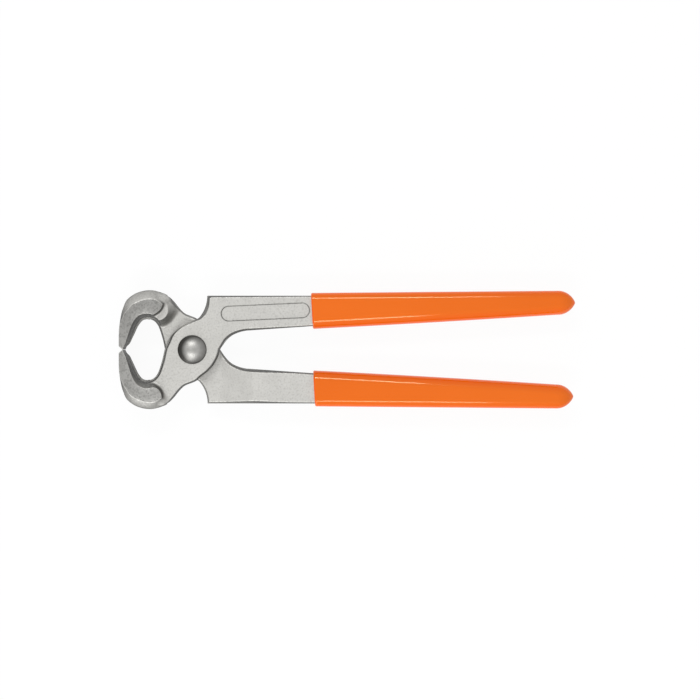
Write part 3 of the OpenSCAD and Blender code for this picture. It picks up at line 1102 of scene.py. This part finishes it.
class Nodes:
    """Builds a material's node tree, node by node."""

    def __init__(self, name: str) -> None:
        """Starts a material with its shader and the object's own coordinates.

        Args:
            name: The material's name.
        """
        self.material = bpy.data.materials.new(name)
        self.material.use_nodes = True
        self.tree = self.material.node_tree
        self.shader = self.tree.nodes["Principled BSDF"]
        self.coords = self.add("ShaderNodeTexCoord").outputs["Object"]

    def put(self, given: Socket | Row | float, target: Socket | str) -> None:
        """Links a socket to a target, or sets the target to a plain value.

        Args:
            given: A socket, or a colour, a row of numbers or a number.
            target: The socket that gets it, or the name of one of the shader's.
        """
        target = self.shader.inputs[target] if isinstance(target, str) else target
        if isinstance(given, Socket):
            self.tree.links.new(given, target)
        else:
            target.default_value = (*given, 1.0) if target.type == "RGBA" else given

    def add(self, kind: str, **values: object) -> bpy.types.Node:
        """Adds a node and sets its properties, or gives its sockets what they get.

        Args:
            kind: The node's type.
            values: What is set, with underscores for the spaces in a socket's name.

        Returns:
            The new node.
        """
        node = self.tree.nodes.new(kind)
        for key, value in values.items():
            if hasattr(node, key):
                setattr(node, key, value)
            else:
                self.put(value, node.inputs[key.replace("_", " ")])
        return node

    def value(self, name: str) -> Socket:
        """A named point value of the mesh."""
        return self.add("ShaderNodeAttribute", attribute_name=name).outputs["Fac"]

    def across(self, half: float, levels: Shares) -> Socket:
        """Grey level along Y from one side of the tool to the other, used as a painted shade.

        Args:
            half: Half the width that the levels cover, in metres.
            levels: Places from 0 to 1 across that width, with the level at each.

        Returns:
            The level, straight from each place to the next.
        """
        y = self.add("ShaderNodeSeparateXYZ", Vector=self.coords).outputs["Y"]
        ramp = self.add("ShaderNodeValToRGB", Fac=self.span(y, (-half, half, 0, 1)))
        stops = ramp.color_ramp.elements
        for place, _ in levels[1:-1]:
            stops.new(place)
        for stop, (place, level) in zip(stops, levels):
            stop.position = place
            stop.color = (level, level, level, 1)
        return ramp.outputs[0]

    def noise(self, scale: float, detail: float, stretch: Triple = (1, 1, 1)) -> Socket:
        """Noise over the object's own coordinates, of so many cycles a metre and finer layers."""
        place = self.add("ShaderNodeMapping", Vector=self.coords, Scale=stretch).outputs[0]
        return self.add("ShaderNodeTexNoise", Vector=place, Scale=scale, Detail=detail).outputs[0]

    def span(self, source: Socket, ends: Row) -> Socket:
        """Maps the span between the first two ends onto the last two, held at its ends."""
        ends = dict(zip(("From_Min", "From_Max", "To_Min", "To_Max"), ends))
        return self.add("ShaderNodeMapRange", Value=source, **ends).outputs["Result"]

    def math(self, how: str, *numbers: Socket | float) -> Socket:
        """Works out a sum.

        Args:
            how: The sum, named as in the node.
            numbers: Its one or two numbers.

        Returns:
            The result.
        """
        node = self.add("ShaderNodeMath", operation=how)
        for given, target in zip(numbers, node.inputs):
            self.put(given, target)
        return node.outputs[0]

    def mix(
        self, share: Socket | float, a: Socket | Colour | float, b: Socket | Colour | float,
        kind: str = "RGBA", how: str = "MIX",
    ) -> Socket:
        """Mixes two colours or two numbers.

        Args:
            share: Share of the second.
            a: The first.
            b: The second.
            kind: RGBA for colours, FLOAT for numbers.
            how: How colours are mixed, named as in the node.

        Returns:
            The mixture.
        """
        node = self.add("ShaderNodeMix", data_type=kind, blend_type=how)
        first, out = (6, 2) if kind == "RGBA" else (2, 0)
        for place, given in ((0, share), (first, a), (first + 1, b)):
            self.put(given, node.inputs[place])
        return node.outputs[out]

    def bump(self, height: Socket, strength: float, distance: float, **under: Socket) -> Socket:
        """Bump from a height, 1 of it a distance in metres, over another bump's Normal if given."""
        sizes = {"Strength": strength, "Distance": distance}
        return self.add("ShaderNodeBump", Height=height, **sizes, **under).outputs["Normal"]


@dataclass(frozen=True)
class LeverFinish:
    """Blasted and plated forging: pale level faces, ground crescents darker partly as painted
    reflection, painted shade across the jaws, on upright walls and in the marking panel's border.

    As in the other finishes, a noise is its cycles a metre and its finer layers, a span two ends
    of a value and what they are mapped onto, and a bump its strength and height in metres.
    """

    pale: Colour = (0.650, 0.642, 0.613)
    pale_low: Colour = (0.500, 0.493, 0.470)
    # the ground crescents' own tone, made darker partly as painted reflection of dark surroundings
    ground: Colour = (0.54, 0.534, 0.512)
    ground_low: Colour = (0.21, 0.207, 0.196)
    # painted shade on upright walls and in the marking panel's border groove
    wall: Colour = (0.088, 0.086, 0.080)
    pale_rough: Pair = (0.42, 0.66)
    ground_rough: Pair = (0.28, 0.40)
    metallic: float = 0.75
    cloud: Noise = (110, 3)
    speck: Noise = (900, 4)
    fine: Noise = (3000, 2)
    half_width: float = 0.033
    # painted shade across the jaws: the crescents darker towards +Y
    shade_across_jaws: Shares = ((0.02, 1.12), (0.2, 0.92), (0.5, 0.86), (0.8, 0.86), (0.97, 0.70))
    cloud_span: Row = (0.38, 0.62, 0, 0.25)
    speck_span: Row = (0.45, 0.7, 0, 0.75)
    wall_shade_span: Row = (0.14, 0.72, 0, 1)
    # painted shade along the marking panel's border groove
    panel_shade_span: Row = (0.12, 0.5, 0.62, 0)
    rough_span: Pair = (0.3, 0.7)
    speck_bump: Pair = (0.38, 0.0002)
    fine_bump: Pair = (0.4, 0.00008)

    def build(self) -> Material:
        """Makes the material.

        Returns:
            The levers' material.
        """
        nodes = Nodes("forged_plated_steel")
        cloud, speck, fine = (nodes.noise(*size) for size in (self.cloud, self.speck, self.fine))
        ground = nodes.value("ground")
        low = nodes.mix(ground, self.pale_low, self.ground_low)
        colour = nodes.mix(ground, self.pale, self.ground)
        colour = nodes.mix(nodes.span(cloud, self.cloud_span), colour, low)
        colour = nodes.mix(nodes.span(speck, self.speck_span), colour, low)
        # painted shade across the jaws, on the ground crescents only
        shade = nodes.mix(ground, 1.0, nodes.across(self.half_width, self.shade_across_jaws), "FLOAT")
        colour = nodes.mix(1.0, colour, shade, how="MULTIPLY")
        # painted shade on upright walls, by the mesh's wall value
        colour = nodes.mix(nodes.span(nodes.value("wall"), self.wall_shade_span), colour, self.wall)
        # painted shade in the marking panel's border groove
        line = nodes.span(nodes.math("ABSOLUTE", nodes.value("panel")), self.panel_shade_span)
        nodes.put(nodes.mix(line, colour, self.wall), "Base Color")
        ends = self.pale_rough, self.ground_rough
        rough = (nodes.span(speck, self.rough_span + end) for end in ends)
        nodes.put(nodes.mix(ground, *rough, "FLOAT"), "Roughness")
        nodes.put(self.metallic, "Metallic")
        normal = nodes.bump(speck, *self.speck_bump)
        nodes.put(nodes.bump(fine, *self.fine_bump, Normal=normal), "Normal")
        return nodes.material


class PlainFinish:
    """Two close colours in clouds, another one as painted shade where the mesh's wall value is high,
    as on upright walls, and one or two bumps.
    """

    name: str
    low: Colour
    high: Colour
    wall: Colour
    cloud: Noise
    fine: Noise
    cloud_span: Row
    wall_shade_span: Row
    rough_span: Row
    fine_bump: Pair
    cloud_bump: Pair | None = None
    metallic: float = 0.0
    gloss_tint: Colour = (1.0, 1.0, 1.0)

    def build(self) -> Material:
        """Makes the material.

        Returns:
            The new material.
        """
        nodes = Nodes(self.name)
        cloud, fine = nodes.noise(*self.cloud), nodes.noise(*self.fine)
        colour = nodes.mix(nodes.span(cloud, self.cloud_span), self.low, self.high)
        # painted shade where the mesh's wall value is high
        wall = nodes.span(nodes.value("wall"), self.wall_shade_span)
        nodes.put(nodes.mix(wall, colour, self.wall), "Base Color")
        nodes.put(nodes.span(fine, self.rough_span), "Roughness")
        nodes.put(self.metallic, "Metallic")
        nodes.put(self.gloss_tint, "Specular Tint")
        under = {"Normal": nodes.bump(cloud, *self.cloud_bump)} if self.cloud_bump else {}
        nodes.put(nodes.bump(fine, *self.fine_bump, **under), "Normal")
        return nodes.material


class RivetFinish(PlainFinish):
    """Turned and tumbled rivet head, smoother than the levers, with painted shade on its sloping
    rim.
    """

    name = "tumbled_rivet_steel"
    low = (0.45, 0.445, 0.426)
    high = (0.53, 0.525, 0.506)
    # painted shade on the sloping rim
    wall = (0.085, 0.083, 0.078)
    cloud = (420, 3)
    fine = (3800, 2)
    cloud_span = (0.35, 0.65, 0, 1)
    wall_shade_span = (0.05, 0.25, 0, 1)
    rough_span = (0.3, 0.7, 0.42, 0.50)
    fine_bump = (0.12, 0.00005)
    cloud_bump = (0.12, 0.0003)
    metallic = 1.0


class DipFinish(PlainFinish):
    """Glossy dipped plastic, faintly wavy along the handle, its colour deepened by painted shade at
    its sides, lip and tip.
    """

    name = "dipped_orange_plastic"
    low = (0.80, 0.136, 0.004)
    high = (0.835, 0.147, 0.006)
    # painted shade on the coat's sides, lip and tip
    wall = (0.86, 0.112, 0.0)
    cloud = (35, 2, (0.4, 1, 1))
    fine = (90, 1, (0.25, 1, 1))
    cloud_span = (0.3, 0.7, 0, 1)
    wall_shade_span = (0.25, 1.0, 0, 1)
    rough_span = (0.3, 0.7, 0.05, 0.09)
    fine_bump = (0.05, 0.0004)
    gloss_tint = (1.0, 1.0, 0.66)


@dataclass(frozen=True)
class SoftBox:
    """One flat studio light that faces the tool."""

    name: str
    place: Triple
    size: Pair
    watts: float

    def build(self) -> None:
        """Makes the light."""
        light = bpy.data.lights.new(self.name, "AREA")
        light.shape = "RECTANGLE"
        light.size, light.size_y = self.size
        light.energy = self.watts
        obj = bpy.data.objects.new(self.name, light)
        obj.location = self.place
        aim = Vector((self.place[0], 0, 0)) - Vector(self.place)
        obj.rotation_euler = aim.to_track_quat("-Z", "Y").to_euler()
        bpy.context.scene.collection.objects.link(obj)


@dataclass(frozen=True)
class Studio:
    """White floor, softboxes at the tool's sides and a camera straight above it, in metres."""

    floor_half: float = 6.0
    floor_z: float = -0.0004
    floor_glow: float = 0.94
    world_level: float = 0.605
    camera_height: float = 1.8
    view_width: float = 0.3899
    aim: Pair = (0.0013, -0.0002)
    lights: tuple[SoftBox, ...] = (
        SoftBox("strip_above", (-0.30, 0.98, 1.35), (0.90, 0.24), 8.0),
        SoftBox("strip_below", (-0.30, -0.98, 1.35), (0.90, 0.28), 7.2),
        SoftBox("fill_below", (-0.90, -2.0, 0.75), (1.4, 1.0), 14.0),
    )

    def build(self) -> None:
        """Makes the whole studio."""
        self.build_floor()
        for light in self.lights:
            light.build()
        scene = bpy.context.scene
        scene.world = bpy.data.worlds.new("studio")
        scene.world.use_nodes = True
        background = scene.world.node_tree.nodes["Background"]
        background.inputs["Color"].default_value = (1, 1, 1, 1)
        background.inputs["Strength"].default_value = self.world_level
        scene.view_settings.view_transform = "Standard"
        camera = bpy.data.cameras.new("camera")
        camera.lens = camera.sensor_width * self.camera_height / self.view_width
        obj = bpy.data.objects.new("camera", camera)
        obj.location = (*self.aim, rivet_axis()[2] + self.camera_height)
        scene.collection.objects.link(obj)
        scene.camera = obj

    def build_floor(self) -> None:
        """Lays the white floor, which shows the camera its own white and a share of the shadows."""
        half = self.floor_half
        corners = ((-half, -half), (half, -half), (half, half), (-half, half))
        mesh = bpy.data.meshes.new("floor")
        mesh.from_pydata([(x, y, self.floor_z) for x, y in corners], [], [(0, 1, 2, 3)])
        floor = bpy.data.objects.new("floor", mesh)
        bpy.context.scene.collection.objects.link(floor)
        nodes = Nodes("white_floor")
        nodes.put((1.0, 1.0, 1.0), "Base Color")
        nodes.put(1.0, "Roughness")
        nodes.put(0.0, "Specular IOR Level")
        path = nodes.add("ShaderNodeLightPath").outputs
        seen = path["Is Camera Ray"]
        for kind in ("Is Glossy Ray", "Is Transmission Ray"):
            seen = nodes.math("MAXIMUM", seen, path[kind])
        share = nodes.math("MULTIPLY", seen, self.floor_glow)
        glow = nodes.add("ShaderNodeEmission").outputs[0]
        mix = nodes.add("ShaderNodeMixShader")
        for given, target in zip((share, nodes.shader.outputs[0], glow), mix.inputs):
            nodes.put(given, target)
        nodes.put(mix.outputs[0], nodes.tree.nodes["Material Output"].inputs["Surface"])
        mesh.materials.append(nodes.material)


def main() -> None:
    """Builds every piece in order, then the studio."""
    logging.basicConfig(level=logging.INFO)
    ForgedLever().build(LeverFinish().build())
    DomedRivet().build(RivetFinish().build())
    Grips().build(DipFinish().build())
    Studio().build()


if __name__ == "__main__":
    main()
